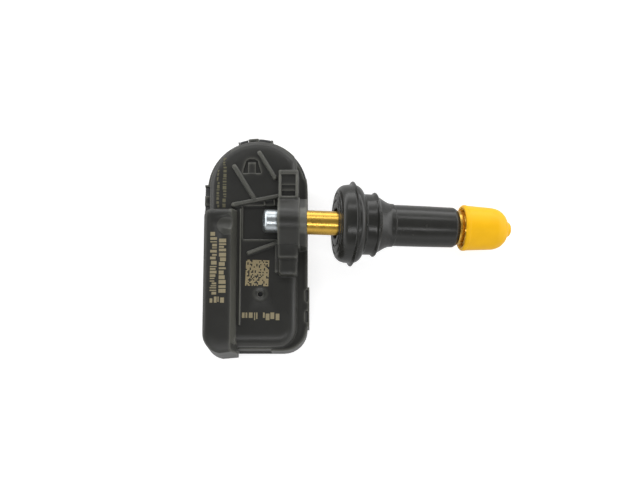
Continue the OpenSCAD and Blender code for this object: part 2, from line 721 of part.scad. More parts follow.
module core_spring() color(steel) on_axis(spring_floor_s + spring_wire + 0.02) {
    rise = collar_s - spring_floor_s - 2 * spring_wire - 0.04;
    steps = 16 * spring_turns;
    rings = [for (i = [0:steps]) let (a = 360 * spring_turns * i / steps) [for (k = [0:spring_sides - 1])
        let (b = 360 * k / spring_sides, r = spring_r + spring_wire * cos(b))
            [r * cos(a), r * sin(a), rise * i / steps + spring_wire * sin(b)]]];
    polyhedron(
        points = [for (ring = rings) each ring],
        faces = concat(
            [[for (k = [0:spring_sides - 1]) k]],
            [[for (k = [spring_sides - 1:-1:0]) steps * spring_sides + k]],
            [for (i = [0:steps - 1]) for (k = [0:spring_sides - 1])
                let (here = i * spring_sides, there = here + spring_sides, next = (k + 1) % spring_sides)
                    [here + next, here + k, there + k, there + next]]));
}

module core_cup() color(brass) on_axis(cup_s) difference() {
    cylinder(r = cup_r, h = cup_l, $fn = 32);
    translate([0, 0, cup_floor_t]) cylinder(r = cup_r - cup_t, h = cup_l, $fn = 32);
    translate([0, 0, -over]) cylinder(r = pin_r, h = cup_l + 2 * over, $fn = 32);
}

module core_seat_seal() color("#c8452e") on_axis(cup_s + cup_floor_t) difference() {
    cylinder(r = cup_r - cup_t - 0.01, h = core_barrel_s - cup_s - cup_floor_t - 0.04, $fn = 32);
    translate([0, 0, -over]) cylinder(r = pin_r + 0.01, h = cup_l + 2 * over, $fn = 32);
}

module core_barrel_seal() color("#d9d3c4") on_axis(core_cone_s) difference() {
    cylinder(r1 = chamber_r - 0.02, r2 = core_thread_r - 0.04, h = core_cone_l, $fn = 32);
    translate([0, 0, -over]) cylinder(r = barrel_out_r + 0.01, h = core_cone_l + 2 * over, $fn = 32);
}

// Plastic cap with a rounded shoulder and a nub
module valve_cap() color(cap_yellow) on_axis(0) rotate_extrude($fn = 64) polygon(concat(
    [[cap_bore_r, cap_s + 0.3], [cap_bore_r + 0.3, cap_s], [cap_r - 0.3, cap_s], [cap_r - 0.04, cap_s + 0.3],
     [cap_r, cap_s + 0.9], [shoulder_r, cap_shoulder_s]],
    [for (a = [20:17.5:90]) [shoulder_r - 2.9 * (1 - cos(a)), cap_shoulder_s + cap_dome_l * sin(a)]],
    [[nub_r, cap_top_s], [nub_r - 0.1, cap_top_s + nub_l - 0.3], [nub_r - 0.4, cap_top_s + nub_l],
     [0, cap_top_s + nub_l], [0, liner_s + liner_t], [liner_r, liner_s + liner_t], [liner_r, liner_s],
     [cap_bore_r, liner_s - 0.5]]
));

module cap_liner() color("#7a2f24") on_axis(liner_s) cylinder(r = liner_r - 0.02, h = liner_t);

housing();
back_cover();
cover_seal();
circuit_board();
battery_can();
battery_lid();
battery_gasket();
battery_tab_positive();
battery_tab_negative();
sensor_chip();
port_gasket();
port_filter();
lf_coil_core();
lf_coil_winding();
rf_antenna();
crystal();
chip_components();
valve_screw();
valve_stem();
valve_rubber();
core_barrel();
core_plug();
core_pin();
core_spring();
core_cup();
core_seat_seal();
core_barrel_seal();
valve_cap();
cap_liner();
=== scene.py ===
"""Looks of a snap-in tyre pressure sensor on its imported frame: finishes, marks, thread, spring and studio."""

import json
import math
import random
from collections import namedtuple

import bmesh
import bpy
from bpy.props import FloatProperty, FloatVectorProperty, IntProperty, PointerProperty
from mathutils import Matrix, Vector


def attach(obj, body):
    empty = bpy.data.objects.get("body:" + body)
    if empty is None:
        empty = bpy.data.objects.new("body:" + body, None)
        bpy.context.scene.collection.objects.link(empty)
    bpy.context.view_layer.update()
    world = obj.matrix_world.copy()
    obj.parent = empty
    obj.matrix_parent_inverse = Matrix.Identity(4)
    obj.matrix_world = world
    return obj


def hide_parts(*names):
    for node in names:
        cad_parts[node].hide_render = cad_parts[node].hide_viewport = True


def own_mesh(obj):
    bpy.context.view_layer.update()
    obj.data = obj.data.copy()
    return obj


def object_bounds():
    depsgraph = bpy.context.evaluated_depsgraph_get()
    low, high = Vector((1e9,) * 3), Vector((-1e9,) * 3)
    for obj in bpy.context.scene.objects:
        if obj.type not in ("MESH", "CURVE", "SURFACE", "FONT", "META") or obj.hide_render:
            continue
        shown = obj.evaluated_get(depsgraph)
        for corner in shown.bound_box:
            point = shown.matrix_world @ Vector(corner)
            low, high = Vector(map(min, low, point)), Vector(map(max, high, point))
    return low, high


bl_info = {
    "name": "Tyre pressure sensor",
    "version": (1, 0, 0),
    "blender": (4, 5, 0),
    "location": "3D View > Sidebar > Sensor",
    "description": "Finishes and printed marks of a snap-in tyre pressure sensor",
    "category": "Object",
}

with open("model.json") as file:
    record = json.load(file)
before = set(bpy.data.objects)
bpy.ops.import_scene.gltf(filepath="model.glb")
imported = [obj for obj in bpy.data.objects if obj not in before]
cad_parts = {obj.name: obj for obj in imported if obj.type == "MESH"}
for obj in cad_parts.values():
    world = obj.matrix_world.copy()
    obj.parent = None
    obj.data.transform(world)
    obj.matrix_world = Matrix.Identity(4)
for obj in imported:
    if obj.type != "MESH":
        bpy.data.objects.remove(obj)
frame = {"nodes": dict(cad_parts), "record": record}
CAD_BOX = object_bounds()
NODES = frame["nodes"]
MM = 0.001
WELD = 0.001 * MM
SMOOTH_BELOW = math.radians(32)
LATHE_SEGMENTS = 128

# Places of the Mix node's sockets for colours, which share their names with its other sockets
MIX_FACTOR, MIX_FIRST, MIX_SECOND, MIX_RESULT = 0, 6, 7, 2

# A fade is (where a feature ends, where it is full). These place the painted highlights: on walls by how far up
# or down a surface looks, and on edges by how thin the plastic is below it
WALL_FADE = (0.9, 0.5)
THIN_FADE = (0.08, 0.5)
THIN_SAMPLES = 8
BEVEL_SAMPLES = 6

# How close the rings of the turned brass lie, in radians of their ripple to the metre
BRASS_RINGS = 52000

# What the tool stamped in the housing and its cover, and the ledge's slope, which gets a painted sheen: places
# and sizes in metres
GATE_PAD = (-6.55 * MM, -0.9 * MM)
GATE_PAD_FADE = (2.2 * MM, 2.0 * MM)
GATE_PAD_ABOVE = 12 * MM
VENT = (0.9 * MM, -15.7 * MM)
VENT_RING_RADIUS = 1.4 * MM
VENT_RING_FADE = (0.55 * MM, 0.1 * MM)
LEDGE_SLOPE_LEFT, LEDGE_SLOPE_RIGHT = -6.1 * MM, -4.2 * MM
LEDGE_SLOPE_END = -27 * MM
LEDGE_SLOPE_ABOVE = 8 * MM
EJECTOR_PINS = [(x * MM, y * MM) for x, y in ((-5, 11), (5, 11), (-6, -23), (7, -21), (1, -8))]
EJECTOR_RADIUS = 1.5 * MM
EJECTOR_LINE = 0.09 * MM
COVER_FACE_BELOW = 0.05 * MM

# How many times paler than its own colour the moulded plastic is painted, and in what share: painted highlights
# on stamped relief, on walls with a painted sheen on the ledge's slope, and on thin edges
STAMP_HIGHLIGHT_GAIN, STAMP_HIGHLIGHT_SHARE = 4, 0.5
WALL_HIGHLIGHT_GAIN, WALL_HIGHLIGHT_SHARE, SLOPE_SHEEN_SHARE = 6, 0.2, 0.65
EDGE_HIGHLIGHT_GAIN, EDGE_HIGHLIGHT_SHARE = 8.5, 0.9

# Marked fields: edges in millimetres, turn in degrees, what fills the field, and its shade
Field = namedtuple("Field", "left right low high turn fill shade")
MARKS = {
    "ledge_column_outer": Field(-10.05, -8.6, -16.4, -2.4, 0, "bars", "plain"),
    "ledge_column_inner": Field(-8.1, -6.55, -16.0, -3.9, 0, "bars", "plain"),
    "ledge_row": Field(-10.0, -6.5, -18.2, -16.85, 0, "bars", "plain"),
    "cell_square": Field(-2.38, 2.78, -13.97, -8.11, -2, "cells", "strong"),
    "face_row_left": Field(-3.1, 0.35, -21.6, -19.9, 0, "bars", "plain"),
    "face_row_right": Field(1.55, 5.2, -21.6, -19.9, 0, "bars", "plain"),
    "end_column_outer": Field(-9.11, -8.46, 3.9, 14.2, 0, "bars", "faint"),
    "end_column_inner": Field(-7.75, -6.92, 3.9, 15.4, 0, "bars", "faint"),
}

# Bars: lengths, gaps and the least length in millimetres, and widths as shares of a field's short side
BAR_LENGTHS = (0.25, 0.4, 0.6, 0.85)
BAR_GAPS = (0.2, 0.32)
BAR_LEAST = 0.2
BAR_WIDTHS = (0.7, 0.85, 1)

# How much of a cell's place its mark fills, the height in millimetres from which marks are let down on the
# housing, and how level the face below must be
CELL_FILL = 0.96
MARK_START = 1000
LEVEL_ENOUGH = 0.97

# The stem's thread: the bare brass before it, its outer radius, half the width in turns of the wedge that
# cuts it, the share of its depth that it lacks where it begins, and the steps of a turn
THREAD_BARE = 0.9 * MM
THREAD_OUTER = 3.93 * MM
THREAD_HALF = 0.485
THREAD_RUN_OUT = 0.9
THREAD_STEPS = 40

# The studio: the white sheet, each lamp's place and size, and how near the camera sees, in metres
SHEET_HALF = 1.2
SHEET_DROP = 0.01 * MM
SHEET_COLOUR = (0.6, 0.6, 0.6, 1)
SHEET_GLOW = 0.65
SHEET_GLOSSY_SHARE = 0.25
LAMPS = {"window": ((0.02, 0.27, 0.33), (0.50, 0.08)), "front": ((0.02, -0.22, 0.40), (0.50, 0.06))}
CAMERA_NEAR = 0.01

# The tent's brightness as (place, brightness), from the horizon to the roof and from the front to the back
TENT_UPWARD = ((0.0, 1.0), (0.2, 0.95), (0.45, 0.3), (0.65, 0.12), (1.0, 0.08))
TENT_BACKWARD = ((0.0, 0.3), (0.3, 0.6), (0.55, 1.0), (1.0, 1.0))

# Outlines in millimetres, as (radius, place along the valve, rounding of the corner)
RUBBER = (
    (2.70, 8.1, 0), (3.45, 8.1, 0), (3.45, 6.45, 0.1), (3.6, 6.3, 0.1), (4.9, 6.33, 0.1),
    (5.05, 6.6, 0.08), (5.35, 6.6, 0.08), (5.5, 6.4, 0.08), (6.5, 6.5, 0.1), (6.65, 6.8, 0.08),
    (6.95, 6.8, 0.08), (7.1, 6.6, 0.1), (7.8, 6.75, 0.4), (8.5, 7.5, 0.5), (8.72, 8.4, 0.4),
    (8.82, 9.5, 0.05), (8.95, 9.62, 0.05), (9.5, 9.85, 0.03), (9.52, 9.95, 0.03),
    (8.95, 10.08, 0.08), (8.7, 10.2, 0.08), (8.72, 10.7, 0.25), (8.35, 11.4, 0.3), (7.8, 11.9, 0.3),
    (7.15, 12.15, 0.2), (6.85, 12.35, 0.12), (6.8, 12.6, 0.1), (6.78, 14.35, 0.2),
    (6.9, 14.6, 0.12), (7.22, 14.9, 0.12), (7.2, 15.15, 0.1), (6.45, 15.6, 0.1), (6.3, 15.75, 0.08),
    (5.35, 17.3, 0.4), (4.9, 18.3, 0.3), (4.84, 19.3, 0.08), (4.66, 19.45, 0.08), (4.62, 26, 0),
    (4.52, 33.25, 0.2), (4.1, 33.95, 0.12), (3.87, 34.2, 0), (3.87, 33.5, 0), (3.45, 33.2, 0),
    (3.45, 29.7, 0), (2.7, 28.2, 0), (2.7, 16.5, 0), (3.4, 14.5, 0), (3.4, 10, 0), (2.7, 8.5, 0),
)
CAP = (
    (0, 46.9, 0), (1.05, 46.88, 0.2), (1.55, 46.55, 0.2), (1.72, 46.1, 0.15), (2.35, 45.75, 0.3),
    (3.2, 45.3, 0.4), (4.15, 44.3, 0.5), (4.68, 43, 0.6), (4.8, 41.5, 0), (5.06, 37, 0),
    (5.12, 36.3, 0.15), (5.2, 36.15, 0.1), (5.2, 35.62, 0.15), (4.95, 35.33, 0.12),
    (4.5, 35.3, 0.1), (4.02, 35.75, 0.1), (3.92, 36.3, 0), (3.92, 43.2, 0), (3.43, 43.5, 0),
    (3.43, 44.38, 0), (0, 44.38, 0),
)

# The valve's axis, from the joint that turns the cap, and how far the core's pin is pressed
JOINTS = {joint["name"]: joint for joint in frame["record"]["behaviour"]["joints"]}
CAP_TURN = JOINTS["cap_turn"]
PRESS_WAY = JOINTS["core_press"]["range_m"][1]
VALVE_START = Vector(CAP_TURN["pos_m"])
VALVE_WAY = Vector(CAP_TURN["axis"]).normalized()
VALVE_FRAME = Matrix.Translation(VALVE_START) @ VALVE_WAY.to_track_quat("Z", "Y").to_matrix().to_4x4()


def colour_property(name, description, default):
    return FloatVectorProperty(
        name=name, description=description, subtype="COLOR", size=3, min=0, max=1, default=default
    )


def length_property(name, description, default):
    return FloatProperty(name=name, description=description, default=default, unit="LENGTH")


class Wire:
    """An output socket of a node, used as a number in expressions."""

    def __init__(self, maker, socket):
        self.maker = maker
        self.socket = socket

    def maths(self, operation, first, second=None):
        values = [first] if second is None else [first, second]
        return self.maker.node("ShaderNodeMath", {"operation": operation}, values)

    def __add__(self, other):
        return self.maths("ADD", self, other)

    def __sub__(self, other):
        return self.maths("SUBTRACT", self, other)

    def __rsub__(self, other):
        return self.maths("SUBTRACT", other, self)

    def __mul__(self, other):
        return self.maths("MULTIPLY", self, other)

    def sine(self):
        return self.maths("SINE", self)

    def root(self):
        return self.maths("SQRT", self)

    def size(self):
        return self.maths("ABSOLUTE", self)

    def above(self, edge):
        return self.maths("GREATER_THAN", self, edge)

    def below(self, edge):
        return self.maths("LESS_THAN", self, edge)

    def between(self, low, high):
        """The low value where this is 0, and the high one where it is 1."""
        return self * (high - low) + low


class Nodes:
    """A node tree under construction: a material's, the world's or a modifier's."""

    def __init__(self, tree):
        self.tree = tree

    def node(self, kind, settings=None, inputs=(), output=0):
        """Adds a node, sets it up, joins its inputs, and gives one of its outputs."""
        made = self.tree.nodes.new(kind)
        for name, value in (settings or {}).items():
            setattr(made, name, value)
        pairs = inputs.items() if isinstance(inputs, dict) else enumerate(inputs)
        for key, value in pairs:
            if isinstance(value, Wire):
                self.tree.links.new(value.socket, made.inputs[key])
            else:
                made.inputs[key].default_value = value
        return Wire(self, made.outputs[output])

    def ramp(self, factor, stops):
        """A brightness that runs from each (place, brightness) to the next."""
        made = self.tree.nodes.new("ShaderNodeValToRGB")
        elements = made.color_ramp.elements
        while len(elements) < len(stops):
            elements.new(0.5)
        for element, (place, value) in zip(elements, stops):
            element.position = place
            element.color = (value, value, value, 1)
        self.tree.links.new(factor.socket, made.inputs["Fac"])
        return Wire(self, made.outputs["Color"])

    def part_of(self, vector, axis):
        return self.node("ShaderNodeSeparateXYZ", {}, [vector], output=axis)

    def fade(self, value, ends, full):
        """1 where a value is at or past its full place, 0 where the feature ends, and a slope between."""
        return self.node("ShaderNodeMapRange", {}, {"Value": value, "From Min": ends, "From Max": full})


class Finish(Nodes):
    """A material under construction, with a Principled BSDF at its end."""

    def __init__(self, name, roughness, metallic=0.0, **sockets):
        self.material = bpy.data.materials.new(name)
        self.material.use_nodes = True
        super().__init__(self.material.node_tree)
        self.shader = self.tree.nodes["Principled BSDF"]
        self.shader.inputs["Roughness"].default_value = roughness
        self.shader.inputs["Metallic"].default_value = metallic
        for socket, value in sockets.items():
            self.shader.inputs[socket.replace("_", " ")].default_value = value

    def place(self):
        """The point of the surface in the part's own frame."""
        return self.node("ShaderNodeTexCoord", output="Object")

    def distance_from(self, centre):
        """How far the surface's point is from a line that stands upright at a centre."""
        place = self.place()
        across = self.part_of(place, "X") - centre[0]
        along = self.part_of(place, "Y") - centre[1]
        return (across * across + along * along).root()

    def noise(self, scale, detail, roughness=0.5):
        inputs = {"Vector": self.place(), "Scale": scale, "Detail": detail, "Roughness": roughness}
        return self.node("ShaderNodeTexNoise", {}, inputs, output="Fac")

    def mix(self, factor, first, second):
        inputs = {MIX_FACTOR: factor, MIX_FIRST: first, MIX_SECOND: second}
        return self.node("ShaderNodeMix", {"data_type": "RGBA"}, inputs, output=MIX_RESULT)

    def vary(self, factor, colour, dark, pale):
        """A colour that runs from a darker to a paler one of its own hue."""
        return self.mix(factor, rgba(colour, dark), rgba(colour, pale))

    def bevel_normal(self, radius):
        return self.node("ShaderNodeBevel", {"samples": BEVEL_SAMPLES}, {"Radius": radius})

    def wall_highlight_mask(self):
        """Where walls get a painted highlight: 1 on walls and slopes, and 0 on faces that look straight up or
        down.
        """
        upright = self.part_of(self.node("ShaderNodeNewGeometry", output="Normal"), "Z").size()
        return self.fade(upright, *WALL_FADE)

    def edge_highlight_mask(self, depth):
        """Where edges get a painted highlight: 1 on ribs and outer edges, where little plastic lies below the
        surface, and 0 on thick faces.
        """
        settings = {"inside": True, "only_local": True, "samples": THIN_SAMPLES}
        below = self.node("ShaderNodeAmbientOcclusion", settings, {"Distance": depth}, output="AO")
        return self.fade(1 - below, *THIN_FADE)

    def bump(self, height, strength, distance, normal=None):
        inputs = {"Height": height, "Strength": strength, "Distance": distance}
        if normal is not None:
            inputs["Normal"] = normal
        return self.node("ShaderNodeBump", {}, inputs)

    def feed(self, base, roughness, normal=None):
        """Joins wires to the shader, and gives the material."""
        for socket, wire in (("Base Color", base), ("Roughness", roughness), ("Normal", normal)):
            if wire is not None:
                self.tree.links.new(wire.socket, self.shader.inputs[socket])
        return self.material


def rgba(colour, gain):
    return (colour[0] * gain, colour[1] * gain, colour[2] * gain, 1)


def tinted(colour, red, green, blue):
    """A colour whose red, green and blue are each made stronger or weaker."""
    return (min(1, colour[0] * red), colour[1] * green, colour[2] * blue, 1)


def dress(node, material):
    """Gives a CAD node one material."""
    slots = NODES[node].data.materials
    slots.clear()
    slots.append(material)


def even_shading():
    """A modifier's nodes that weld what is drawn and shade it smooth up to an edge angle."""
    tree = bpy.data.node_groups.new("even_shading", "GeometryNodeTree")
    for way in ("INPUT", "OUTPUT"):
        tree.interface.new_socket("Geometry", in_out=way, socket_type="NodeSocketGeometry")
    work = Nodes(tree)
    welded = work.node("GeometryNodeMergeByDistance", {}, {0: work.node("NodeGroupInput"), "Distance": WELD})
    sharp = work.node("GeometryNodeInputMeshEdgeAngle").above(SMOOTH_BELOW)
    shaded = work.node(
        "GeometryNodeSetMeshNormal",
        {"mode": "SHARPNESS"},
        {"Mesh": welded, "Remove Custom": True, "Edge Sharpness": sharp, "Face Sharpness": False},
    )
    tree.links.new(shaded.socket, tree.nodes.new("NodeGroupOutput").inputs[0])
    return tree


def shade_evenly(*things):
    """Adds the even shading as a modifier, so that a CAD mesh itself stays as it is."""
    tree = bpy.data.node_groups.get("even_shading") or even_shading()
    for thing in things:
        thing.modifiers.new("even_shading", "NODES").node_group = tree


def new_piece(name, shape, material, body):
    """Makes an object of a bmesh that moves with a body."""
    mesh = bpy.data.meshes.new(name)
    bmesh.ops.recalc_face_normals(shape, faces=shape.faces)
    shape.to_mesh(mesh)
    shape.free()
    mesh.materials.append(material)
    piece = bpy.data.objects.new(name, mesh)
    bpy.context.scene.collection.objects.link(piece)
    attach(piece, body)
    return piece


def rounded(outline):
    """Rounds each corner of (radius, place, rounding) with a short curve."""
    points = []
    for i, (radius, place, soft) in enumerate(outline):
        corner = Vector((radius, place))
        if not soft:
            points.append(corner)
            continue
        before = (Vector(outline[i - 1][:2]) - corner).normalized() * soft
        after = (Vector(outline[(i + 1) % len(outline)][:2]) - corner).normalized() * soft
        for t in (0, 0.25, 0.5, 0.75, 1):
            points.append(corner + before * (1 - t) ** 2 + after * t ** 2)
    return [point * MM for point in points]


def lathe(outline):
    """Turns a closed outline round the valve's axis."""
    shape = bmesh.new()
    points = rounded(outline)
    rings = []
    for i in range(LATHE_SEGMENTS):
        angle = 2 * math.pi * i / LATHE_SEGMENTS
        ring = []
        for k, (radius, place) in enumerate(points):
            if radius == 0 and rings:
                ring.append(rings[0][k])
                continue
            spot = Vector((radius * math.cos(angle), radius * math.sin(angle), place))
            ring.append(shape.verts.new(VALVE_FRAME @ spot))
        rings.append(ring)
    for one, two in zip(rings, rings[1:] + rings[:1]):
        for k in range(len(points)):
            after = (k + 1) % len(points)
            corners = list(dict.fromkeys((one[k], one[after], two[after], two[k])))
            if len(corners) > 2:
                shape.faces.new(corners)
    return shape


def reach(node):
    """First and last place of a node along the valve's axis, from the cap's pivot."""
    places = [(corner.co - VALVE_START).dot(VALVE_WAY) for corner in NODES[node].data.vertices]
    return min(places), max(places)


class MouldedPlastic(bpy.types.PropertyGroup):
    housing: colour_property("Housing", "Colour of the housing's plastic", (0.0135, 0.0135, 0.0115))
    cover: colour_property("Cover", "Colour of the back cover's plastic", (0.009, 0.009, 0.009))
    grain: length_property("Grain", "Size of the eroded grain", 0.12 * MM)
    edge: length_property("Edge", "Rounding that edges show", 0.42 * MM)


class ValveFinish(bpy.types.PropertyGroup):
    rubber: colour_property("Rubber", "Colour of the valve's rubber", (0.017, 0.017, 0.015))
    brass: colour_property("Brass", "Colour of the stem", (0.62, 0.38, 0.07))
    zinc: colour_property("Zinc", "Colour of the screw's plating", (0.5, 0.525, 0.53))
    cap: colour_property("Cap", "Colour of the cap", (0.89, 0.465, 0.002))
    pitch: length_property("Thread pitch", "Rise of a turn", 0.794 * MM)
    root: length_property("Thread root", "Radius at the groove", 3.45 * MM)


class PrintedMarks(bpy.types.PropertyGroup):
    strong: colour_property("Strong mark", "Colour of the square of cells", (0.305, 0.258, 0.15))
    plain: colour_property("Plain mark", "Colour that a laser leaves in the plastic", (0.25, 0.22, 0.14))
    faint: colour_property("Faint mark", "Colour of the marks at the round end", (0.115, 0.11, 0.07))
    cell: length_property("Cell", "Width of a cell", 0.29 * MM)
    share: FloatProperty(
        name="Share", description="Share of the cells that are marked", default=0.74, min=0, max=1
    )
    thickness: length_property("Thickness", "Height of a mark", 0.015 * MM)
    seed: IntProperty(name="Seed", description="Chooses the bars and cells", default=7)


class StudioSetup(bpy.types.PropertyGroup):
    elevation: FloatProperty(
        name="Elevation", description="Camera height as an angle", default=math.radians(79), subtype="ANGLE"
    )
    distance: length_property("Distance", "From the camera to the sensor", 0.30)
    view_width: length_property("View width", "Width seen at that distance", 0.14545)
    tent: FloatProperty(name="Tent", description="Brightness of the tent's walls", default=3.7)
    window: FloatProperty(name="Window", description="Power of the long lamp behind, in watts", default=0.46)
    front: FloatProperty(name="Front", description="Power of the long lamp in front, in watts", default=0.72)
    aim: FloatVectorProperty(
        name="Aim", description="Point at the picture's centre", subtype="XYZ", unit="LENGTH",
        default=(14.16 * MM, -2.6 * MM, 5 * MM),
    )


def ledge_slope_sheen(finish):
    """1 where the ledge falls to the face, which gets a stronger painted sheen than other walls."""
    place = finish.place()
    across = finish.part_of(place, "X")
    beside = across.above(LEDGE_SLOPE_LEFT) * across.below(LEDGE_SLOPE_RIGHT)
    along = finish.part_of(place, "Y").above(LEDGE_SLOPE_END)
    return beside * along * finish.part_of(place, "Z").above(LEDGE_SLOPE_ABOVE)


def moulded(name, colour, settings, stamp):
    """Black moulded plastic: eroded grain, flow marks and what the tool stamped, with painted highlights that
    make edges, walls and stamped relief paler.
    """
    finish = Finish(name, 0.4, Specular_IOR_Level=0.43)
    cloud = finish.noise(scale=260, detail=3)
    grain = finish.noise(scale=1 / settings.grain, detail=2, roughness=0.6)
    # The edge mask marks where ribs and outer edges get a painted highlight
    edge = finish.edge_highlight_mask(2 * settings.edge)
    wall_highlight = finish.wall_highlight_mask() * (ledge_slope_sheen(finish) * SLOPE_SHEEN_SHARE + WALL_HIGHLIGHT_SHARE)
    stamped = stamp(finish)
    base = finish.vary(cloud, colour, dark=0.85, pale=1.15)
    # Stamped relief is made paler as well as raised: a painted highlight for the light that the vent ring and
    # gate pad catch, and the same paler colour on the cover's pin rings
    base = finish.mix(stamped * STAMP_HIGHLIGHT_SHARE, base, rgba(colour, STAMP_HIGHLIGHT_GAIN))
    # Painted highlight: walls are made paler, and the ledge's slope more so as a painted sheen
    base = finish.mix(wall_highlight, base, rgba(colour, WALL_HIGHLIGHT_GAIN))
    # Painted highlight: ribs and outer edges are made paler, as if their rounding caught the light
    base = finish.mix(edge * EDGE_HIGHLIGHT_SHARE, base, rgba(colour, EDGE_HIGHLIGHT_GAIN))
    normal = finish.bump(grain, strength=0.22, distance=0.02 * MM, normal=finish.bevel_normal(settings.edge))
    normal = finish.bump(stamped, strength=1.0, distance=0.06 * MM, normal=normal)
    return finish.feed(base=base, roughness=cloud.between(0.32, 0.48), normal=normal)


def gate_pad(finish):
    """The round pad on the ledge where the plastic came in."""
    high = finish.part_of(finish.place(), "Z").above(GATE_PAD_ABOVE)
    return finish.fade(finish.distance_from(GATE_PAD), *GATE_PAD_FADE) * high


def vent_ring(finish):
    """The raised ring round the vent's mouth."""
    off = (finish.distance_from(VENT) - VENT_RING_RADIUS).size()
    return finish.fade(off, *VENT_RING_FADE)


def housing_stamps(finish):
    return gate_pad(finish) + vent_ring(finish)


def pin_rings(finish):
    """Rings that ejector pins leave on the cover's outer face."""
    rings = 0
    for centre in EJECTOR_PINS:
        off = (finish.distance_from(centre) - EJECTOR_RADIUS).size()
        rings = off.below(EJECTOR_LINE) + rings
    return rings * finish.part_of(finish.place(), "Z").below(COVER_FACE_BELOW)


class SENSOR_OT_housing(bpy.types.Operator):
    """Finish the housing and its back cover"""

    bl_idname = "sensor.housing"
    bl_label = "Housing and cover"

    def execute(self, context):
        settings = context.scene.sensor_plastic
        dress("housing", moulded("housing_plastic", settings.housing, settings, housing_stamps))
        dress("back_cover", moulded("cover_plastic", settings.cover, settings, pin_rings))
        shade_evenly(NODES["housing"], NODES["back_cover"])
        return {"FINISHED"}


def add_plate(shape, centre, across, along, thickness):
    """A thin plate that stands out by its thickness and is let into the surface by half of that."""
    corners = []
    for height in (-0.5 * thickness, thickness):
        for a, b in ((-1, -1), (1, -1), (1, 1), (-1, 1)):
            corners.append(shape.verts.new(centre + across * a + along * b + Vector((0, 0, height))))
    for face in ((3, 2, 1, 0), (4, 5, 6, 7), (0, 1, 5, 4), (1, 2, 6, 5), (2, 3, 7, 6), (3, 0, 4, 7)):
        shape.faces.new([corners[i] for i in face])


def cell_spots(width, length, settings, chance):
    """Places and sizes of the marked cells of a field, about its centre."""
    columns, rows = round(width / settings.cell), round(length / settings.cell)
    side = settings.cell * CELL_FILL
    for i in range(columns):
        for j in range(rows):
            if chance.random() < settings.share:
                yield ((i + 0.5) / columns - 0.5) * width, ((j + 0.5) / rows - 0.5) * length, side, side


def bar_spots(width, length, chance):
    """Places and sizes of the bars of a field, one after another along it, about its centre."""
    short_side, long_side = sorted((width, length))
    start = 0
    while start < long_side - BAR_LEAST * MM:
        bar = min(chance.choice(BAR_LENGTHS) * MM, long_side - start)
        middle = start + bar / 2 - long_side / 2
        across = short_side * chance.choice(BAR_WIDTHS)
        shift = (short_side - across) / 2 * chance.choice((-1, 1))
        yield (shift, middle, across, bar) if length > width else (middle, shift, bar, across)
        start += bar + chance.choice(BAR_GAPS) * MM


def marked_field(field, settings, chance):
    """Lays a field's plates on the housing below them."""
    width, length = (field.right - field.left) * MM, (field.high - field.low) * MM
    if field.fill == "cells":
        spots = cell_spots(width, length, settings, chance)
    else:
        spots = bar_spots(width, length, chance)
    turn = Matrix.Rotation(math.radians(field.turn), 3, "Z")
    across, along = turn @ Vector((1, 0, 0)), turn @ Vector((0, 1, 0))
    above = Vector(((field.left + field.right) / 2, (field.low + field.high) / 2, MARK_START)) * MM
    shape = bmesh.new()
    for x, y, wide, long in spots:
        spot = above + across * x + along * y
        hit, point, normal, _ = NODES["housing"].ray_cast(spot, Vector((0, 0, -1)))
        if hit and normal.z > LEVEL_ENOUGH:
            add_plate(shape, point, across * wide / 2, along * long / 2, settings.thickness)
    return shape


def laser_mark(name, colour):
    """Foamed plastic that a laser leaves: tan, uneven and matt."""
    finish = Finish(name, 0.65, Specular_IOR_Level=0.3)
    fleck = finish.noise(scale=5200, detail=3, roughness=0.65)
    cloud = finish.noise(scale=900, detail=2)
    base = finish.vary(fleck, colour, dark=0.62, pale=1.3)
    base = finish.mix(cloud * 0.4, base, tinted(colour, red=1, green=0.86, blue=0.72))
    normal = finish.bump(fleck, strength=0.3, distance=0.02 * MM)
    return finish.feed(base=base, roughness=fleck.between(0.55, 0.8), normal=normal)


class SENSOR_OT_marks(bpy.types.Operator):
    """Lay the marks' bars and cells on the housing's faces"""

    bl_idname = "sensor.marks"
    bl_label = "Printed marks"

    def execute(self, context):
        settings = context.scene.sensor_marks
        chance = random.Random(settings.seed)
        shades = {}
        for shade in ("strong", "plain", "faint"):
            shades[shade] = laser_mark(f"{shade}_mark", getattr(settings, shade))
        for name, field in MARKS.items():
            shape = marked_field(field, settings, chance)
            new_piece(name, shape, shades[field.shade], "sensor")
        return {"FINISHED"}


def rubber(name, colour):
    """Moulded rubber: soft sheen, a talc-like bloom in patches and a fine grain."""
    finish = Finish(name, 0.5, Specular_IOR_Level=0.36)
    bloom = finish.noise(scale=420, detail=4, roughness=0.6)
    base = finish.vary(bloom, colour, dark=0.8, pale=1.25)
    normal = finish.bump(finish.noise(scale=9000, detail=2), strength=0.12, distance=0.02 * MM)
    return finish.feed(base=base, roughness=bloom.between(0.17, 0.33), normal=normal)


def turned_brass(name, colour):
    """Turned brass: fine rings round the valve's axis and a light tarnish."""
    finish = Finish(name, 0.25, 1.0)
    inputs = [finish.place(), tuple(VALVE_WAY)]
    along = finish.node("ShaderNodeVectorMath", {"operation": "DOT_PRODUCT"}, inputs, output="Value")
    rings = (along * BRASS_RINGS).sine() * 0.5 + finish.noise(scale=3200, detail=1) * 0.5
    tarnish = finish.noise(scale=700, detail=3)
    base = finish.vary(tarnish, colour, dark=0.8, pale=1.1)
    normal = finish.bump(rings, strength=0.1, distance=0.01 * MM)
    return finish.feed(base=base, roughness=tarnish.between(0.2, 0.36), normal=normal)


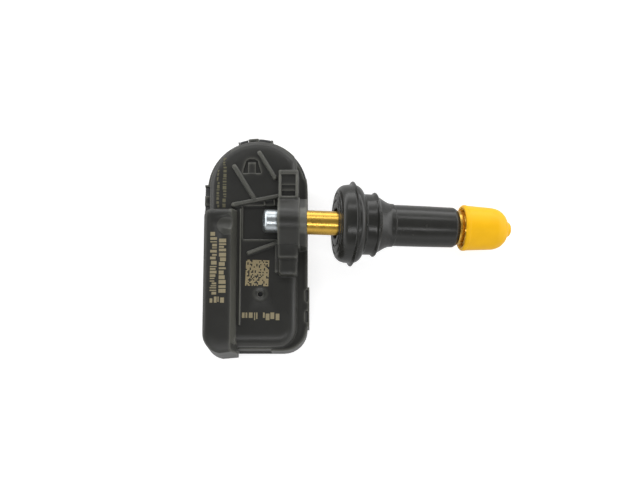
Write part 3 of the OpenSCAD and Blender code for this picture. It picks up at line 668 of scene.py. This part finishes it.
def plated(name, colour):
    """Bright zinc plate with a bluish, slightly uneven coat."""
    finish = Finish(name, 0.25, 1.0)
    cloud = finish.noise(scale=900, detail=3)
    base = finish.mix(cloud, rgba(colour, 0.85), tinted(colour, red=0.95, green=1, blue=1.06))
    normal = finish.bump(finish.noise(scale=6000, detail=2), strength=0.08, distance=0.01 * MM)
    return finish.feed(base=base, roughness=cloud.between(0.22, 0.4), normal=normal)


def cap_plastic(name, colour):
    """Yellow cap: satin, with faint flow marks and scuffs."""
    finish = Finish(name, 0.4, Specular_IOR_Level=0.22)
    cloud = finish.noise(scale=300, detail=3)
    scuff = finish.noise(scale=2600, detail=4, roughness=0.65).above(0.62)
    base = finish.mix(cloud, rgba(colour, 0.92), tinted(colour, red=1.05, green=1.1, blue=1.6))
    normal = finish.bump(finish.noise(scale=5200, detail=2), strength=0.06, distance=0.02 * MM)
    return finish.feed(base=base, roughness=cloud.between(0.36, 0.46) + scuff * 0.08, normal=normal)


def thread_wedge(start, end, pitch, root, outer):
    """A screw-shaped wedge, almost as wide as a turn at its outside, that starts shallow."""
    shape = bmesh.new()
    half = pitch * THREAD_HALF
    rings = []
    for i in range(int((end - start) / pitch * THREAD_STEPS) + 1):
        turns = i / THREAD_STEPS
        angle = 2 * math.pi * turns
        along = start + pitch * turns
        inner = root + max(0, 1 - turns) * (outer - root) * THREAD_RUN_OUT
        profile = ((inner, along), (outer, along - half), (outer, along + half))
        rings.append([
            shape.verts.new(VALVE_FRAME @ Vector((radius * math.cos(angle), radius * math.sin(angle), place)))
            for radius, place in profile
        ])
    for one, two in zip(rings, rings[1:]):
        for a, b in ((0, 1), (1, 2), (2, 0)):
            shape.faces.new((one[a], one[b], two[b], two[a]))
    shape.faces.new(rings[0])
    shape.faces.new(rings[-1])
    return shape


def cut_thread(settings, brass):
    """Cuts the tyre valve's thread into what is drawn of the stem, with a hidden wedge."""
    start = reach("valve_rubber")[1] + THREAD_BARE
    end = reach("valve_stem")[1] + settings.pitch
    shape = thread_wedge(start, end, settings.pitch, settings.root, THREAD_OUTER)
    wedge = new_piece("thread_wedge", shape, brass, "sensor")
    wedge.hide_render = True
    wedge.display_type = "WIRE"
    stem = NODES["valve_stem"]
    stem.modifiers.new("weld", "WELD").merge_threshold = WELD
    cut = stem.modifiers.new("thread", "BOOLEAN")
    cut.operation = "DIFFERENCE"
    cut.solver = "EXACT"
    cut.object = wedge
    shade_evenly(stem)


class SENSOR_OT_valve(bpy.types.Operator):
    """Finish the rubber, brass and screw, and cut the stem's thread"""

    bl_idname = "sensor.valve"
    bl_label = "Valve and screw"

    def execute(self, context):
        settings = context.scene.sensor_valve
        brass = turned_brass("stem_brass", settings.brass)
        black = rubber("valve_rubber", settings.rubber)
        yellow = cap_plastic("cap_plastic", settings.cap)
        body = new_piece("rubber_body", lathe(RUBBER), black, "sensor")
        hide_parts("valve_rubber")
        cap = new_piece("cap_shell", lathe(CAP), yellow, "cap")
        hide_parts("valve_cap")
        shade_evenly(body, cap)
        dress("valve_rubber", black)
        dress("valve_cap", yellow)
        for node in ("valve_stem", "core_barrel", "core_plug", "core_pin", "core_cup"):
            dress(node, brass)
        dress("valve_screw", plated("zinc_plate", settings.zinc))
        cut_thread(settings, brass)
        return {"FINISHED"}


def plain_finish(name, colour, roughness, metallic=0.0):
    """A small inner part's finish, with a little unevenness in colour and sheen."""
    finish = Finish(name, roughness, metallic)
    cloud = finish.noise(scale=1500, detail=3)
    base = finish.vary(cloud, colour, dark=0.85, pale=1.12)
    return finish.feed(base=base, roughness=cloud.between(roughness - 0.1, roughness + 0.1))


def spring_coil(material):
    """A copy of the core's spring that moves with the sensor's body in place of the CAD node; how much of it
    would stay when the pin is pressed is worked out but not used.
    """
    shape = bmesh.new()
    shape.from_mesh(NODES["core_spring"].data)
    coil = new_piece("spring_coil", shape, material, "sensor")
    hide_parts("core_spring")
    foot, head = reach("core_spring")
    keep = 1 - PRESS_WAY / (head - foot)
    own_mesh(coil)


class SENSOR_OT_inside(bpy.types.Operator):
    """Finish the parts inside the housing and the valve"""

    bl_idname = "sensor.inside"
    bl_label = "Inner parts"

    def execute(self, context):
        steel = plain_finish("bright_steel", (0.62, 0.62, 0.6), 0.3, 1.0)
        seal = plain_finish("seal_rubber", (0.16, 0.05, 0.035), 0.6)
        pale = plain_finish("pale_plastic", (0.7, 0.68, 0.6), 0.5)
        chip = plain_finish("chip_plastic", (0.02, 0.02, 0.022), 0.5)
        black_seal = plain_finish("black_seal", (0.015, 0.015, 0.015), 0.55)
        finishes = {
            steel: ("battery_can", "battery_lid", "battery_tab_positive", "battery_tab_negative", "crystal",
                    "core_spring"),
            seal: ("port_gasket", "core_seat_seal", "cap_liner"),
            black_seal: ("cover_seal",),
            pale: ("battery_gasket", "core_barrel_seal"),
            chip: ("sensor_chip", "chip_components", "port_filter"),
            plain_finish("board_mask", (0.025, 0.13, 0.05), 0.4): ("circuit_board",),
            plain_finish("ferrite", (0.06, 0.055, 0.05), 0.6): ("lf_coil_core",),
            plain_finish("copper_wire", (0.6, 0.25, 0.09), 0.35, 0.8): ("lf_coil_winding",),
            plain_finish("aerial_brass", (0.66, 0.45, 0.16), 0.35, 1.0): ("rf_antenna",),
        }
        for material, nodes in finishes.items():
            for node in nodes:
                dress(node, material)
        spring_coil(steel)
        return {"FINISHED"}


def sheet_finish(name):
    """White sheet that shows as white, and still takes the sensor's soft shadow."""
    finish = Finish(name, 0.9, Specular_IOR_Level=0.0)
    finish.shader.inputs["Base Color"].default_value = SHEET_COLOUR
    paths = finish.tree.nodes.new("ShaderNodeLightPath")
    seen = Wire(finish, paths.outputs["Is Camera Ray"]) + Wire(finish, paths.outputs["Is Transmission Ray"])
    seen = seen + Wire(finish, paths.outputs["Is Glossy Ray"]) * SHEET_GLOSSY_SHARE
    glow = finish.node("ShaderNodeEmission", {}, {"Color": (1, 1, 1, 1), "Strength": seen * SHEET_GLOW})
    both = finish.node("ShaderNodeAddShader", {}, [Wire(finish, finish.shader.outputs[0]), glow])
    finish.tree.links.new(both.socket, finish.tree.nodes["Material Output"].inputs["Surface"])
    return finish.material


def add_sheet():
    """Lays a wide white sheet just under the sensor."""
    low = min(corner[2] for corner in CAD_BOX) - SHEET_DROP
    corners = [(x * SHEET_HALF, y * SHEET_HALF, low) for x, y in ((-1, -1), (1, -1), (1, 1), (-1, 1))]
    mesh = bpy.data.meshes.new("floor")
    mesh.from_pydata(corners, [], [(0, 1, 2, 3)])
    mesh.materials.append(sheet_finish("floor_sheet"))
    floor = bpy.data.objects.new("floor", mesh)
    bpy.context.scene.collection.objects.link(floor)


def add_lamp(name, place, aim, size, power):
    """A long lamp that shines at the sensor."""
    data = bpy.data.lights.new(name, "AREA")
    data.shape = "RECTANGLE"
    data.size, data.size_y = size
    data.energy = power
    lamp = bpy.data.objects.new(name, data)
    bpy.context.scene.collection.objects.link(lamp)
    lamp.location = place
    lamp.rotation_euler = (aim - Vector(place)).to_track_quat("-Z", "Y").to_euler()


def light_tent(brightness):
    """World as a white tent: bright walls, a dark roof and a dim front."""
    world = bpy.data.worlds.new("studio")
    world.use_nodes = True
    work = Nodes(world.node_tree)
    way = work.node("ShaderNodeTexCoord", output="Generated")
    glow = work.ramp(work.part_of(way, "Z"), TENT_UPWARD)
    backward = work.part_of(way, "Y") * 0.5 + 0.5
    strength = work.ramp(backward, TENT_BACKWARD) * brightness
    background = world.node_tree.nodes["Background"]
    world.node_tree.links.new(glow.socket, background.inputs["Color"])
    world.node_tree.links.new(strength.socket, background.inputs["Strength"])
    return world


def add_camera(settings, aim):
    """The picture's camera, in front of the sensor and high above it."""
    camera = bpy.data.cameras.new("camera")
    camera.lens = camera.sensor_width * settings.distance / settings.view_width
    camera.clip_start = CAMERA_NEAR
    eye = bpy.data.objects.new("camera", camera)
    bpy.context.scene.collection.objects.link(eye)
    way = Vector((0, -math.cos(settings.elevation), math.sin(settings.elevation)))
    eye.location = aim + way * settings.distance
    eye.rotation_euler = (-way).to_track_quat("-Z", "Y").to_euler()
    return eye


class SENSOR_OT_stage(bpy.types.Operator):
    """Set the floor, lamps and camera"""

    bl_idname = "sensor.stage"
    bl_label = "Studio"

    def execute(self, context):
        scene = context.scene
        settings = scene.sensor_studio
        aim = Vector(settings.aim)
        add_sheet()
        scene.world = light_tent(settings.tent)
        for name, (place, size) in LAMPS.items():
            add_lamp(name, place, aim, size, getattr(settings, name))
        scene.camera = add_camera(settings, aim)
        scene.view_settings.view_transform = "Standard"
        return {"FINISHED"}


OPERATORS = (SENSOR_OT_stage, SENSOR_OT_housing, SENSOR_OT_marks, SENSOR_OT_valve, SENSOR_OT_inside)
GROUPS = {"sensor_plastic": MouldedPlastic, "sensor_valve": ValveFinish, "sensor_marks": PrintedMarks,
          "sensor_studio": StudioSetup}


class SENSOR_PT_panel(bpy.types.Panel):
    """Lists the steps and the settings"""

    bl_label = "Tyre pressure sensor"
    bl_idname = "SENSOR_PT_panel"
    bl_space_type = "VIEW_3D"
    bl_region_type = "UI"
    bl_category = "Sensor"

    def draw(self, context):
        for operator in OPERATORS:
            self.layout.operator(operator.bl_idname)
        for group, kind in GROUPS.items():
            for name in kind.__annotations__:
                self.layout.prop(getattr(context.scene, group), name)


def register():
    for kind in (*GROUPS.values(), *OPERATORS, SENSOR_PT_panel):
        bpy.utils.register_class(kind)
    for name, kind in GROUPS.items():
        setattr(bpy.types.Scene, name, PointerProperty(type=kind))


def unregister():
    for name in GROUPS:
        delattr(bpy.types.Scene, name)
    for kind in reversed((*GROUPS.values(), *OPERATORS, SENSOR_PT_panel)):
        bpy.utils.unregister_class(kind)


def main():
    register()
    for operator in OPERATORS:
        area, name = operator.bl_idname.split(".")
        getattr(getattr(bpy.ops, area), name)()


if __name__ == "__main__":
    main()
